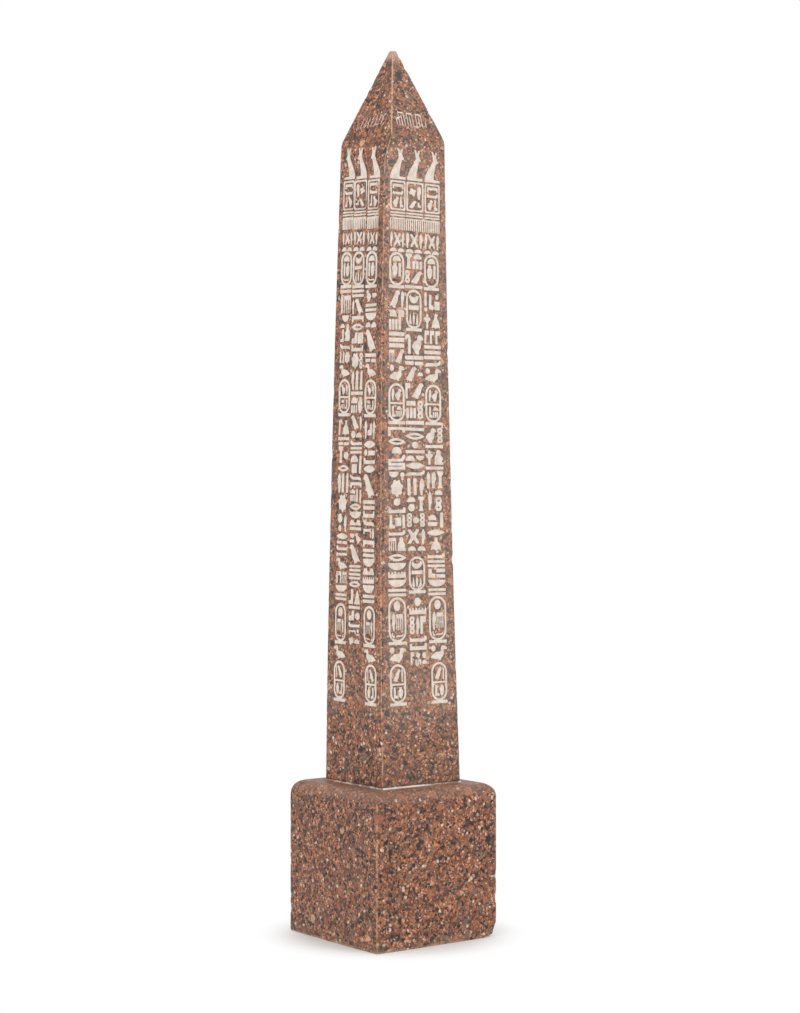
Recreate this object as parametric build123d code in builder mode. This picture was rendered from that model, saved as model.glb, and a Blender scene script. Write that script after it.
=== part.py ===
from build123d import *
import os
from math import atan2, cos, degrees, radians, sin, sqrt

# Model obelisk of reconstituted red granite, about 320 mm tall, standing on a block.
# A tapered shaft with a pyramidion is bonded to a rounded block with a thin bed of adhesive.
# All four faces of the shaft are carved, and the carving is filled with cream paint.
# The frame has +Z up and its origin in the middle of the block's underside.
# The front face looks along -Y and the left face along -X. All sizes are in millimetres.

os.makedirs("parts", exist_ok=True)

# Block
BLOCK_SIDE = 54.0
BLOCK_HEIGHT = 55.2
BLOCK_TOP_ROUND = 4.4
BLOCK_ARRIS_ROUND = 1.3
BLOCK_FOOT_BEVEL = 0.7

# Adhesive between the block and the shaft, squeezed out a little past the shaft's foot
BED_THICKNESS = 0.5
BED_OVERHANG = 0.8
BED_CORNER = 0.8

# Shaft and pyramidion, which are one piece of stone
SHAFT_FOOT_SIDE = 35.0
SHAFT_SHOULDER_SIDE = 27.0
SHAFT_HEIGHT = 231.0
PYRAMIDION_HEIGHT = 35.8
TIP_CUT = 2.6
TIP_BEVEL = 0.4
ARRIS_ROUND = 0.5

# The left slope of the pyramidion was ground steeper than the others and out of square,
# so it cuts lower into the shaft at the front arris.
LEFT_SLOPE = 18.4
LEFT_OUT_OF_SQUARE = 5.7

# Carving and the paint that fills it, which stops a little below the face
CARVING_DEPTH = 0.6
PAINT_DEPTH = 0.45

# Heights worked out from the sizes above
BED_TOP = BLOCK_HEIGHT + BED_THICKNESS
SHARP_TIP = BED_TOP + SHAFT_HEIGHT + PYRAMIDION_HEIGHT
SHAFT_TAPER = degrees(atan2((SHAFT_FOOT_SIDE - SHAFT_SHOULDER_SIDE) / 2, SHAFT_HEIGHT))
TRUE_SLOPE = degrees(atan2(SHAFT_SHOULDER_SIDE / 2, PYRAMIDION_HEIGHT))

# Which way each face looks, as an angle about +Z from +X
FACES = {"front": -90.0, "left": 180.0, "back": 90.0, "right": 0.0}

# The carved columns of a face: how far the middle of each column is from the middle of the face,
# at the lowest rings and at the highest rings. They draw together up the taper.
LOW_LEVEL, HIGH_LEVEL = 36.0, 183.0
FRONT_COLUMNS = [(-10.0, -8.8), (-0.5, -1.1), (8.5, 6.9)]
LEFT_COLUMNS = [(-9.8, -9.2), (-0.9, -1.6), (9.2, 6.3)]

# The back is carved as the front is, and the right face as the left. The rows of those two sides
# were set out less level: they fall to the right, more so further up, and the top band is higher.
FRONT_LIKE = ("front", "back")
ROW_FALL = 0.085
ROW_FALL_LEVEL = 216.0
TOP_BAND_RAISE = 1.2


def outward(turn, lean):
    """The direction that a face looks, turned about +Z and leaning back from upright."""
    turn, lean = radians(turn), radians(lean)
    return Vector(cos(turn) * cos(lean), sin(turn) * cos(lean), sin(lean))


def rightward(turn):
    """The horizontal direction to the right on a face, for someone who looks at it."""
    return Vector(-sin(radians(turn)), cos(radians(turn)), 0)


def shaft_face(face):
    """The plane of a shaft face, with its origin in the middle of the face's foot."""
    turn = FACES[face]
    foot = outward(turn, 0) * (SHAFT_FOOT_SIDE / 2) + Vector(0, 0, BED_TOP)
    return Plane(origin=foot, x_dir=rightward(turn), z_dir=outward(turn, SHAFT_TAPER))


def slope_face(face):
    """The plane of a slope of the pyramidion, with its origin at the sharp tip."""
    slope, turn = TRUE_SLOPE, FACES[face]
    if face == "left":
        slope, turn = LEFT_SLOPE, turn + LEFT_OUT_OF_SQUARE
    tip = Vector(0, 0, SHARP_TIP)
    return Plane(origin=tip, x_dir=rightward(turn), z_dir=outward(turn, slope))


def column_middle(face, column, level):
    """Where the middle of a carved column is at a height above the shaft's foot."""
    low, high = (FRONT_COLUMNS if face in FRONT_LIKE else LEFT_COLUMNS)[column]
    return low + (high - low) * (level - LOW_LEVEL) / (HIGH_LEVEL - LOW_LEVEL)


def settled(face, middle, level):
    """Where a motif meant for a height really sits, on a face whose rows fall to the right."""
    fall = 0 if face in FRONT_LIKE else ROW_FALL * level / ROW_FALL_LEVEL
    return middle, level - fall * middle


def top_band(face, level):
    """The height of a motif of the top band, which is higher on the left and right faces."""
    return level if face in FRONT_LIKE else level + TOP_BAND_RAISE


# Carved motifs. Each function draws on the sketch that is open, in the face's own plane.

# A stroke of even width cuts this much less off a frame's inner corners than off its outer ones
CORNER_SHRINK = 2 - sqrt(2)


def draw_frame(middle, level, width, height, corner, stroke):
    """An upright frame with its corners cut off, around a point of the face."""
    for inset, mode in ((0, Mode.ADD), (stroke, Mode.SUBTRACT)):
        x, y = width / 2 - inset, height / 2 - inset
        cut = corner - inset * CORNER_SHRINK
        quarter = [(x, y - cut), (x - cut, y)]
        top = quarter + [(-px, py) for px, py in reversed(quarter)]
        outline = top + [(-px, -py) for px, py in top]
        with Locations((middle, level)):
            Polygon(*outline, align=None, mode=mode)


# Rings: upright loops that stand on a bar. Each end of a loop is three flats.
RING_STROKE = 1.0
RING_FOOT = 1.0
RING_OVERLAP = 0.25
RING_CORNER_SHARE = 0.31

# Each level of rings: the height of its foot, a ring's width and height, and its columns
OUTER, CENTRE = (0, 2), (1,)
FRONT_RINGS = {
    "upper": [(176.6, 6.7, 12.2, OUTER), (161.6, 7.0, 14.2, CENTRE)],
    "middle": [(128.2, 7.2, 13.9, OUTER), (68.0, 7.4, 12.5, CENTRE)],
    "lower": [(50.0, 7.9, 16.2, OUTER), (28.4, 7.2, 14.1, OUTER)],
}
LEFT_RINGS = {
    "upper": [(177.4, 6.5, 12.4, OUTER), (177.4, 6.9, 12.4, CENTRE)],
    "middle": [(131.6, 7.0, 13.0, OUTER)],
    "lower": [(49.2, 7.0, 14.4, OUTER), (28.5, 7.0, 14.2, OUTER)],
}


def draw_rings(face, group):
    """A group of rings with the bars that they stand on."""
    for low, width, height, columns in (FRONT_RINGS if face in FRONT_LIKE else LEFT_RINGS)[group]:
        for column in columns:
            middle = column_middle(face, column, low + height / 2)
            middle, foot = settled(face, middle, low)
            level = foot + RING_FOOT - RING_OVERLAP + height / 2
            draw_frame(middle, level, width, height, width * RING_CORNER_SHARE, RING_STROKE)
            with Locations((middle, foot + RING_FOOT / 2)):
                Rectangle(width, RING_FOOT)


def draw_upper_rings(face):
    draw_rings(face, "upper")


def draw_middle_rings(face):
    draw_rings(face, "middle")


def draw_lower_rings(face):
    draw_rings(face, "lower")


# Panels: three upright frames side by side, under the birds
PANEL_FOOT, PANEL_TOP = 204.4, 215.0
PANEL_WIDTH = 6.3
PANEL_STROKE = 0.75
PANEL_CORNER = 0.8


def draw_panels(face):
    level = top_band(face, (PANEL_FOOT + PANEL_TOP) / 2)
    for column in range(3):
        middle, height = settled(face, column_middle(face, column, level), level)
        draw_frame(middle, height, PANEL_WIDTH, PANEL_TOP - PANEL_FOOT, PANEL_CORNER, PANEL_STROKE)


# Birds: three crested birds, each on a perch, that look towards +x on the front and the back
PERCH_FOOT, PERCH_TOP = 215.5, 216.6
BIRD_HEIGHT = 10.2

# A bird's outline in parts of its height, from its tail up the back to the crest and beak,
# and down the breast to its foot
BIRD_BACK = [(-0.30, 0.00), (-0.25, 0.27), (-0.13, 0.44), (0.00, 0.58), (0.07, 0.69), (0.06, 0.84)]
BIRD_CREST = [(-0.04, 1.00), (0.11, 0.88), (0.20, 1.00), (0.19, 0.84)]
BIRD_BREAST = [(0.22, 0.68), (0.28, 0.59), (0.18, 0.50), (0.12, 0.24), (0.03, 0.00)]


def draw_birds(face):
    way = 1 if face in FRONT_LIKE else -1
    perch = PERCH_TOP - PERCH_FOOT
    for column in range(3):
        level = top_band(face, PERCH_TOP)
        middle, height = settled(face, column_middle(face, column, level), level)
        with Locations((middle, height)):
            outline = BIRD_BACK + BIRD_CREST + BIRD_BREAST
            Polygon(*[(way * x * BIRD_HEIGHT, y * BIRD_HEIGHT) for x, y in outline], align=None)
        with Locations((middle, height - perch / 2)):
            Rectangle(PANEL_WIDTH, perch)


# Fringe: a sill under each panel, and a row of upright stripes below it
SILL_LEVEL = 203.1
SILL_THICKNESS = 0.9
FRINGE_FOOT, FRINGE_TOP = 197.4, 201.7
FRINGE_STRIPE = 0.7
STRIPES_A_PANEL = 5


def draw_fringe(face):
    fringe = FRINGE_TOP - FRINGE_FOOT
    for column in range(3):
        level = top_band(face, FRINGE_TOP)
        middle, height = settled(face, column_middle(face, column, level), level)
        with Locations((middle, height + SILL_LEVEL - FRINGE_TOP)):
            Rectangle(PANEL_WIDTH, SILL_THICKNESS)
        with Locations((middle, height - fringe / 2)):
            with GridLocations(PANEL_WIDTH / (STRIPES_A_PANEL - 1), 1, STRIPES_A_PANEL, 1):
                Rectangle(FRINGE_STRIPE, fringe)


# Every carved motif and the function that draws it
MOTIFS = {
    "bird_inlays": draw_birds,
    "panel_inlays": draw_panels,
    "fringe_inlays": draw_fringe,
    "upper_ring_inlays": draw_upper_rings,
    "middle_ring_inlays": draw_middle_rings,
    "lower_ring_inlays": draw_lower_rings,
}


def finish(piece, name):
    """Labels a finished piece and writes it as its own file."""
    piece.part.label = name
    export_step(piece.part, f"parts/{name}.step")
    print(f"{name}: {len(piece.part.solids())} solids, {piece.part.volume:.1f} mm3")


# The block that the shaft stands on, with a well rounded top
with BuildPart() as base_block:
    with BuildSketch(Plane.XY):
        Rectangle(BLOCK_SIDE, BLOCK_SIDE)
    extrude(amount=BLOCK_HEIGHT)
    fillet(base_block.edges().filter_by(Axis.Z), BLOCK_ARRIS_ROUND)
    fillet(base_block.faces().sort_by(Axis.Z)[-1].edges(), BLOCK_TOP_ROUND)
    chamfer(base_block.faces().sort_by(Axis.Z)[0].edges(), BLOCK_FOOT_BEVEL)
finish(base_block, "base_block")

# The bed of adhesive under the shaft
with BuildPart() as adhesive_bed:
    with BuildSketch(Plane.XY.offset(BLOCK_HEIGHT)) as bed_outline:
        side = SHAFT_FOOT_SIDE + 2 * BED_OVERHANG
        Rectangle(side, side)
        chamfer(bed_outline.vertices(), BED_CORNER)
    extrude(amount=BED_THICKNESS)
finish(adhesive_bed, "adhesive_bed")

# The shaft: a tapered block, cut to a pyramidion by four planes, with its arrises eased
with BuildPart() as shaft:
    with BuildSketch(Plane.XY.offset(BED_TOP)):
        Rectangle(SHAFT_FOOT_SIDE, SHAFT_FOOT_SIDE)
    extrude(amount=SHAFT_HEIGHT + PYRAMIDION_HEIGHT, taper=SHAFT_TAPER)
    for face in FACES:
        split(bisect_by=slope_face(face), keep=Keep.BOTTOM)
    split(bisect_by=Plane.XY.offset(SHARP_TIP - TIP_CUT), keep=Keep.BOTTOM)
    upright = [e for e in shaft.edges() if abs(e.tangent_at(0.5).Z) > 0.3]
    fillet(upright, ARRIS_ROUND)
    chamfer(shaft.faces().sort_by(Axis.Z)[-1].edges(), TIP_BEVEL)
    for face in FACES:
        for draw in MOTIFS.values():
            with BuildSketch(shaft_face(face).offset(-CARVING_DEPTH)):
                draw(face)
            extrude(amount=2 * CARVING_DEPTH, mode=Mode.SUBTRACT)
finish(shaft, "shaft")

# The paint in the carving: each motif of each face is a piece of its own
for face in FACES:
    for name, draw in MOTIFS.items():
        with BuildPart() as inlay:
            with BuildSketch(shaft_face(face).offset(-CARVING_DEPTH)):
                draw(face)
            extrude(amount=PAINT_DEPTH)
        finish(inlay, f"{face}_{name}")
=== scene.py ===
# %% [markdown]
# # A small granite obelisk
#
# This lesson dresses a desk-top obelisk of reconstituted red granite. It is a tapered shaft with a
# pyramidion, carved on all four faces. The carving is filled with cream paint, and the shaft is
# bonded to a rounded block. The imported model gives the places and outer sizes, and we the looks.

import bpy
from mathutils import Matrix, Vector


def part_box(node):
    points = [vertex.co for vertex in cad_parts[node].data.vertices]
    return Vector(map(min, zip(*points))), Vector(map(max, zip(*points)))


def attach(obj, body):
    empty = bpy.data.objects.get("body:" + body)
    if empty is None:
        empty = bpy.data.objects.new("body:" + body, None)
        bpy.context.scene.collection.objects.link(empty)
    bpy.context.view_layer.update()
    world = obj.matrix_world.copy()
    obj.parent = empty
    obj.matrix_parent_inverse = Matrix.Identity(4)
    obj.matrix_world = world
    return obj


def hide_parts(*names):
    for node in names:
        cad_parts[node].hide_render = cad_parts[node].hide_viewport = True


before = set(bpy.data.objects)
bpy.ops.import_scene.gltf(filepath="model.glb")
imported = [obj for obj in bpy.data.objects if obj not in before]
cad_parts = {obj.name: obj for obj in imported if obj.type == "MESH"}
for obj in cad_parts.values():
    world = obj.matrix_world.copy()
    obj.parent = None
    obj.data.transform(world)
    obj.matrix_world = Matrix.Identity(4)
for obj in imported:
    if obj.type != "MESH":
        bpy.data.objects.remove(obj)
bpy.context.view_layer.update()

# %% Modules
import math
import random

import bpy
from mathutils import Matrix, Vector, noise

# %% [markdown]
# ## Sizes
#
# The frame is in metres, but the carving has strokes under a millimetre. Many tools in Blender suit
# a larger model, so we work in millimetres and shrink each piece when it is finished. The outer
# sizes come from the frame, and the rest are the stonecutter's.

# %% Sizes of the stones, in millimetres
MILLIMETRE = 0.001


def node_box(node):
    """The lowest and highest corner of a CAD node in millimetres."""
    return [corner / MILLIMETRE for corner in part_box(node)]


block_low, block_high = node_box("base_block")
bed_low, bed_high = node_box("adhesive_bed")
shaft_low, shaft_high = node_box("shaft")

BLOCK_SIDE = block_high.x - block_low.x
BLOCK_HEIGHT = block_high.z
BED_TOP = bed_high.z
FOOT_SIDE = shaft_high.x - shaft_low.x
TOP = shaft_high.z
SHOULDER_SIDE = 27.0
SHAFT_HEIGHT = 231.0
PYRAMIDION_HEIGHT = 35.8
SHOULDER = BED_TOP + SHAFT_HEIGHT
SHARP_TIP = SHOULDER + PYRAMIDION_HEIGHT
TAPER = (FOOT_SIDE - SHOULDER_SIDE) / 2 / SHAFT_HEIGHT
SLOPE = SHOULDER_SIDE / 2 / PYRAMIDION_HEIGHT
print(f"block {BLOCK_SIDE:.1f} x {BLOCK_HEIGHT:.1f} mm, shaft foot {FOOT_SIDE:.1f} mm, top {TOP:.1f} mm")

# The left slope of the pyramidion is steeper than the others and turned out of square
LEFT_SLOPE = math.radians(18.4)
LEFT_OUT_OF_SQUARE = math.radians(5.7)

# %% [markdown]
# ## Ways of working
#
# Everything is modelled with the operators that a person uses in the viewport. An operator acts on
# all that is selected, so each helper first clears the selection and then picks what it needs.

# %% Select, edit and apply


def pick(*pieces):
    """Selects these pieces alone, and makes the first one active."""
    bpy.ops.object.select_all(action="DESELECT")
    for piece in pieces:
        piece.select_set(True)
    bpy.context.view_layer.objects.active = pieces[0]


def edit(piece, kind="VERT", chosen=lambda element: True):
    """Opens a piece in edit mode with the vertices, edges or faces selected that pass a test."""
    pick(piece)
    groups = {"VERT": piece.data.vertices, "EDGE": piece.data.edges, "FACE": piece.data.polygons}
    bpy.context.tool_settings.mesh_select_mode = [kind == name for name in groups]
    for name, elements in groups.items():
        elements.foreach_set("select", [name == kind and bool(chosen(element)) for element in elements])
    bpy.ops.object.mode_set(mode="EDIT")


def leave():
    bpy.ops.object.mode_set(mode="OBJECT")


def modify(piece, kind, **settings):
    """Adds a modifier with these settings and applies it."""
    pick(piece)
    bpy.ops.object.modifier_add(type=kind)
    modifier = piece.modifiers[-1]
    for name, value in settings.items():
        setattr(modifier, name, value)
    bpy.ops.object.modifier_apply(modifier=modifier.name)


def add_object(name, data):
    made = bpy.data.objects.new(name, data)
    bpy.context.collection.objects.link(made)
    return made


def triangles(piece):
    piece.data.calc_loop_triangles()
    return len(piece.data.loop_triangles)


# %% Finish a piece


def finish_piece(piece, name, material, slot, *nodes):
    """Names a finished piece, brings it to metres and ties it to the frame."""
    piece.name = name
    piece.data.name = name
    piece.data.materials.clear()
    piece.data.materials.append(material)
    piece.scale = (MILLIMETRE,) * 3
    pick(piece)
    bpy.ops.object.transform_apply(location=True, rotation=True, scale=True)
    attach(piece, "root")
    if nodes:
        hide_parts(*nodes)
    print(f"{name}: {triangles(piece)} triangles")


# %% [markdown]
# ## Shader arithmetic
#
# The stone is painted by numbers: how far a point is from an arris, which grain it lies in. In the
# node editor each sum is a Math node. Here a small class wraps a socket, so that sums read as sums.

# %% Numbers and finishes


class Number:
    """A number that changes over the surface. Arithmetic on it adds Math nodes."""

    def __init__(self, finish, socket):
        self.finish, self.socket = finish, socket

    def math(self, operation, *values):
        return self.finish.number("Math", {"operation": operation}, dict(enumerate(values)))

    def __add__(self, other):
        return self.math("ADD", self, other)

    def __sub__(self, other):
        return self.math("SUBTRACT", self, other)

    def __rsub__(self, other):
        return self.math("SUBTRACT", other, self)

    def __mul__(self, other):
        return self.math("MULTIPLY", self, other)

    def __abs__(self):
        return self.math("ABSOLUTE", self)

    def over(self, limit):
        """1 where the number is over the limit, and 0 elsewhere."""
        return self.math("GREATER_THAN", self, limit)

    def ramp(self, low, high):
        """0 at low and 1 at high, with a smooth step between them."""
        inputs = {"Value": self, "From Min": low, "From Max": high}
        return self.finish.number("MapRange", {"interpolation_type": "SMOOTHSTEP"}, inputs)

    __radd__ = __add__
    __rmul__ = __mul__


def lesser(first, second):
    """The smaller of two numbers. They are plain ones on a mesh, and a shader's if the first is."""
    return first.math("MINIMUM", first, second) if isinstance(first, Number) else min(first, second)


def greater(first, second):
    return first.math("MAXIMUM", first, second) if isinstance(first, Number) else max(first, second)


class Finish:
    """A material with one Principled shader, and short ways to add nodes to it."""

    def __init__(self, name, **constants):
        self.material = bpy.data.materials.new(name)
        self.material.use_nodes = True
        self.tree = self.material.node_tree
        self.shader = self.tree.nodes["Principled BSDF"]
        self.set(**constants)

    def set(self, **inputs):
        for name, value in inputs.items():
            self.connect(self.shader, name.replace("_", " "), value)

    def connect(self, node, key, value):
        value = getattr(value, "socket", value)
        if isinstance(value, bpy.types.NodeSocket):
            self.tree.links.new(value, node.inputs[key])
        else:
            node.inputs[key].default_value = value

    def node(self, kind, settings=None, inputs=None):
        """Adds a node: its type, then its settings, then the values or links of its sockets."""
        made = self.tree.nodes.new("ShaderNode" + kind)
        for name, value in (settings or {}).items():
            setattr(made, name, value)
        for key, value in (inputs or {}).items():
            self.connect(made, key, value)
        return made

    def number(self, kind, settings=None, inputs=None, output=0):
        return Number(self, self.node(kind, settings, inputs).outputs[output])

    def noise(self, place, scale, detail, output=0):
        return self.number("TexNoise", {}, {"Vector": place, "Scale": scale, "Detail": detail}, output)

    def bump(self, height, strength, distance):
        return self.number("Bump", {}, {"Height": height, "Strength": strength, "Distance": distance})

    def mix(self, factor, first, second, blend="MIX"):
        """Mixes two colours. The factor runs from the first colour at 0 to the second at 1."""
        settings = {"data_type": "RGBA", "blend_type": blend}
        return self.node("Mix", settings, {0: factor, 6: first, 7: second}).outputs[2]


def rgb(*levels):
    """A colour as a screen shows it, 0 to 255, turned into the linear values that a shader takes."""
    parts = [level / 255 for level in levels]
    return (*(((part + 0.055) / 1.055) ** 2.4 if part > 0.04045 else part / 12.92 for part in parts), 1.0)


# %% [markdown]
# ## Granite
#
# Reconstituted granite is crushed stone in a binder. Grains of every size up to about 3 mm lie at
# random, and the cut face shows a flat slice of each. A Voronoi texture slices space into cells the
# same way, so three sizes of cell are laid over each other: dust, grit and a few large flakes.

# %% Grains of the granite

# How much of the stone is of each colour: a share, then red, green and blue
GRIT = [
    (0.20, 178, 108, 70), (0.15, 150, 90, 60), (0.12, 208, 134, 92), (0.12, 118, 78, 60),
    (0.11, 86, 60, 48), (0.09, 58, 40, 33), (0.06, 28, 23, 21), (0.07, 142, 118, 102),
    (0.05, 214, 168, 132), (0.03, 230, 206, 184),
]
FLAKES = [
    (0.30, 172, 106, 72), (0.22, 118, 94, 82), (0.20, 34, 27, 25), (0.08, 206, 162, 128),
    (0.20, 134, 82, 58),
]
BINDER, RUBBED = rgb(66, 44, 36), rgb(208, 166, 138)
CLOUD_TINT, MOTTLE_TINT = rgb(215, 216, 222), rgb(176, 168, 164)
DUST_SIZE, GRIT_SIZE, FLAKE_SIZE = 0.5, 0.95, 2.0
GRIT_COVER, FLAKE_COVER = 0.6, 0.045
CELL_PUSH = 0.45


def palette(finish, chance, shares):
    """A colour ramp that gives each colour its share of a random number from 0 to 1."""
    made = finish.node("ValToRGB", {}, {"Fac": chance})
    ramp = made.color_ramp
    ramp.interpolation = "CONSTANT"
    ramp.elements.remove(ramp.elements[-1])
    place = 0.0
    for share, *colour in shares:
        element = ramp.elements.new(place) if place else ramp.elements[0]
        element.color = rgb(*colour)
        place += share
    return made.outputs[0]


def grains(finish, place, size, shares):
    """Cells of one size: their colour, a second random number, and how far a point is from the middle."""
    cell = finish.node("TexVoronoi", {"feature": "F1"}, {"Vector": place, "Scale": 1 / size})
    chances = finish.node("SeparateColor", {}, {"Color": cell.outputs["Color"]}).outputs
    colour = palette(finish, chances[0], shares)
    return colour, Number(finish, chances[1]), Number(finish, cell.outputs["Distance"])


def millimetre_place(finish):
    """Object coordinates in millimetres, and each of the three as a number."""
    place = finish.node("TexCoord").outputs["Object"]
    scaled = finish.node("VectorMath", {"operation": "SCALE"}, {0: place, "Scale": 1 / MILLIMETRE})
    parts = finish.node("SeparateXYZ", {}, {0: scaled.outputs[0]})
    return scaled.outputs[0], [Number(finish, part) for part in parts.outputs]


def granite(name, arris_distance, wear, overlays):
    """Red granite. Overlays are pale colours over it, among them a painted sheen and a painted highlight:
    each a colour and how much of it lies at a point.
    """
    finish = Finish(name, Specular_IOR_Level=0.5)
    place, (x, y, z) = millimetre_place(finish)

    # The chips are angular, so the cells are pushed out of shape a little
    push = {0: finish.noise(place, 1.6, 2.0, "Color"), 1: (CELL_PUSH,) * 3, 2: place}
    bent = finish.node("VectorMath", {"operation": "MULTIPLY_ADD"}, push).outputs[0]

    dust, dust_value, dust_depth = grains(finish, bent, DUST_SIZE, GRIT)
    grit, grit_value, grit_depth = grains(finish, bent, GRIT_SIZE, GRIT)
    flake, flake_value, _ = grains(finish, bent, FLAKE_SIZE, FLAKES)
    coarse = grit_value.over(1 - GRIT_COVER)
    colour = finish.mix(coarse, dust, grit)

    # Binder darkens the seams between the grains. Greyer stretches lie over them, broad and small.
    seam = greater(grit_depth.ramp(0.48, 0.78) * coarse * 0.75, dust_depth.ramp(0.55, 0.9) * 0.5)
    colour = finish.mix(seam, colour, BINDER)
    colour = finish.mix(flake_value.over(1 - FLAKE_COVER), colour, flake)
    cloud = finish.noise(place, 0.07, 3.0)
    colour = finish.mix(cloud.ramp(0.4, 0.66) * 0.55, colour, CLOUD_TINT, "MULTIPLY")
    mottle = finish.noise(place, 0.3, 2.0)
    colour = finish.mix(mottle.ramp(0.46, 0.7) * 0.8, colour, MOTTLE_TINT, "MULTIPLY")

    # Handling has rubbed the arrises pale, here more and there less
    patches = finish.noise(place, 0.5, 3.0)
    distance = arris_distance(x, y, z) + (patches - 0.5) * (wear * 1.6)
    worn = (1 - distance.ramp(wear * 0.35, wear)) * patches.ramp(0.36, 0.58) * 0.75
    colour = finish.mix(worn, colour, RUBBED)
    for overlay_colour, amount in overlays:
        colour = finish.mix(amount(x, y, z, patches), colour, overlay_colour)

    rough = 0.46 + dust_value * 0.14 + worn * 0.15
    grain = finish.bump(dust_depth * -0.25 + grit_value * 0.35, 0.2, 0.00004)
    finish.set(Base_Color=colour, Roughness=rough, Normal=grain)
    return finish.material


# %% [markdown]
# The wear needs to know how far a point is from the nearest arris. On the block that is the second
# smallest of its distances to the sides and the foot. On the shaft it is the larger of two distances:
# to the left or right face, and to the front or back face, with the taper and the slopes taken into
# account. The same functions measure a place on a mesh and build the nodes that measure it in a shader.

# %% Distance to an arris


def block_arris(x, y, z):
    aside, across = BLOCK_SIDE / 2 - abs(x), BLOCK_SIDE / 2 - abs(y)
    return greater(lesser(aside, across), lesser(greater(aside, across), z))


def outwards_of(turn, lean):
    """The way out of a face that is turned this far from the right and leans back this far."""
    return Vector((math.cos(turn) * math.cos(lean), math.sin(turn) * math.cos(lean), math.sin(lean)))


LEFT_NORMAL = outwards_of(math.pi + LEFT_OUT_OF_SQUARE, LEFT_SLOPE)

# The shaft is not quite straight. Most of it stands a little to the left of a true line, and its
# front arris more so about halfway up.
BOW, LEAN = Vector((-0.24, 0.18)), Vector((-0.58, 0.43))
LEAN_MIDDLE, LEAN_REACH = 165.0, 100.0


def straight_arris(x, y, z):
    """The distance on a shaft that is still straight."""
    half = lesser((SHARP_TIP - z) * SLOPE, FOOT_SIDE / 2 - (z - BED_TOP) * TAPER)
    left_edge = (y * LEFT_NORMAL.y + (z - SHARP_TIP) * LEFT_NORMAL.z) * (-1 / LEFT_NORMAL.x)
    across = lesser(lesser(half - x, half + x), x - left_edge)
    return greater(across, half - abs(y))


def shift(x, y, z):
    """How far the bow and the lean move a point of the shaft along x and along y."""
    rise = (z - BED_TOP) * (2 / SHAFT_HEIGHT) - 1
    swell = greater(1 - rise * rise * rise * rise, 0)
    away = (z - LEAN_MIDDLE) * (1 / LEAN_REACH)
    lean = greater(1 - away * away, 0) * greater(0.5 - (x + y) * (0.5 / FOOT_SIDE), 0)
    return swell * BOW.x + lean * LEAN.x, swell * BOW.y + lean * LEAN.y


def shaft_arris(x, y, z):
    along_x, along_y = shift(x, y, z)
    return straight_arris(x - along_x, y - along_y, z)


# %% [markdown]
# Thin layers of colour lie over the stone. The upper edge of the block is rubbed dull and carries a painted
# sheen, and dust sits along its foot. The tip of the shaft and the arrises of its pyramidion are painted
# paler: some wear, and along the arrises a painted highlight. The surplus paint was wiped off the shaft,
# and a haze of it stays, more on the front and back than on the sides.

# %% Layers over the stone: wear, dust, paint haze, painted sheen and painted highlight
CARVING_FOOT, CARVING_HEAD, CARVING_FADE = BED_TOP + 22, BED_TOP + 226, 8
RIM_HEIGHT, DUST_HEIGHT, TIP_HEIGHT = 5, 4.5, 5.5


# A paler, greyer band on the rounded upper edge of the block: partly wear, partly a painted sheen
def rim_wear_and_sheen(x, y, z, patches):
    return z.ramp(BLOCK_HEIGHT - RIM_HEIGHT, BLOCK_HEIGHT - 1.5) * (patches * 0.5 + 0.15)


def dusty_foot(x, y, z, patches):
    return (1 - z.ramp(0, DUST_HEIGHT)) * patches.ramp(0.4, 0.6) * 0.4


# The tip and the arrises of the pyramidion are painted paler in patches: some wear, and along the arrises a
# painted highlight
def tip_wear_and_highlight(x, y, z, patches):
    arris = (1 - shaft_arris(x, y, z).ramp(0.15, 0.6)) * z.ramp(SHOULDER - 12, SHOULDER)
    return greater(arris * 0.75, z.ramp(TOP - TIP_HEIGHT, TOP - 1)) * patches.ramp(0.2, 0.5) * 0.7


def paint_haze(x, y, z, patches):
    above_foot = z.ramp(CARVING_FOOT - CARVING_FADE, CARVING_FOOT + CARVING_FADE)
    above_head = z.ramp(CARVING_HEAD - CARVING_FADE, CARVING_HEAD + CARVING_FADE)
    front = abs(y).over(abs(x))
    return (above_foot * (1 - above_head) * (front * 0.04 + 0.04) + front * 0.04) * (patches + 0.5)


# The first colour of the block is its rim's wear and painted sheen
block_overlays = [(rgb(146, 112, 94), rim_wear_and_sheen), (rgb(158, 138, 124), dusty_foot)]
# The first colour of the shaft is the tip's wear and the painted highlight on the pyramidion's arrises
shaft_overlays = [(rgb(204, 172, 146), tip_wear_and_highlight), (rgb(226, 208, 192), paint_haze)]
block_granite = granite("block_granite", block_arris, 1.0, block_overlays)
shaft_granite = granite("shaft_granite", shaft_arris, 0.52, shaft_overlays)

# %% [markdown]
# ## Paint and adhesive
#
# The signs were flooded with cream paint and the face was wiped. The paint is matt, thin in places,
# and the stone shows through in small specks. The adhesive squeezed out under the shaft has dried to
# a dirty white.

# %% Cream paint and dried adhesive
CREAM, THIN_CREAM, BARE_SPECK = rgb(231, 221, 210), rgb(215, 200, 186), rgb(160, 112, 88)
DRIED, DIRTY = rgb(238, 233, 228), rgb(138, 114, 100)


def cream_paint():
    finish = Finish("cream_paint", Specular_IOR_Level=0.3)
    place, _ = millimetre_place(finish)
    cloud = finish.noise(place, 0.5, 4.0)
    speck = finish.noise(place, 1.9, 2.0)
    colour = finish.mix(cloud.ramp(0.35, 0.7), CREAM, THIN_CREAM)
    colour = finish.mix(speck.ramp(0.66, 0.74) * 0.7, colour, BARE_SPECK)
    coat = finish.bump(cloud + speck * 0.6, 0.35, 0.00008)
    finish.set(Base_Color=colour, Roughness=0.66 + cloud * 0.2, Normal=coat)
    return finish.material


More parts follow.
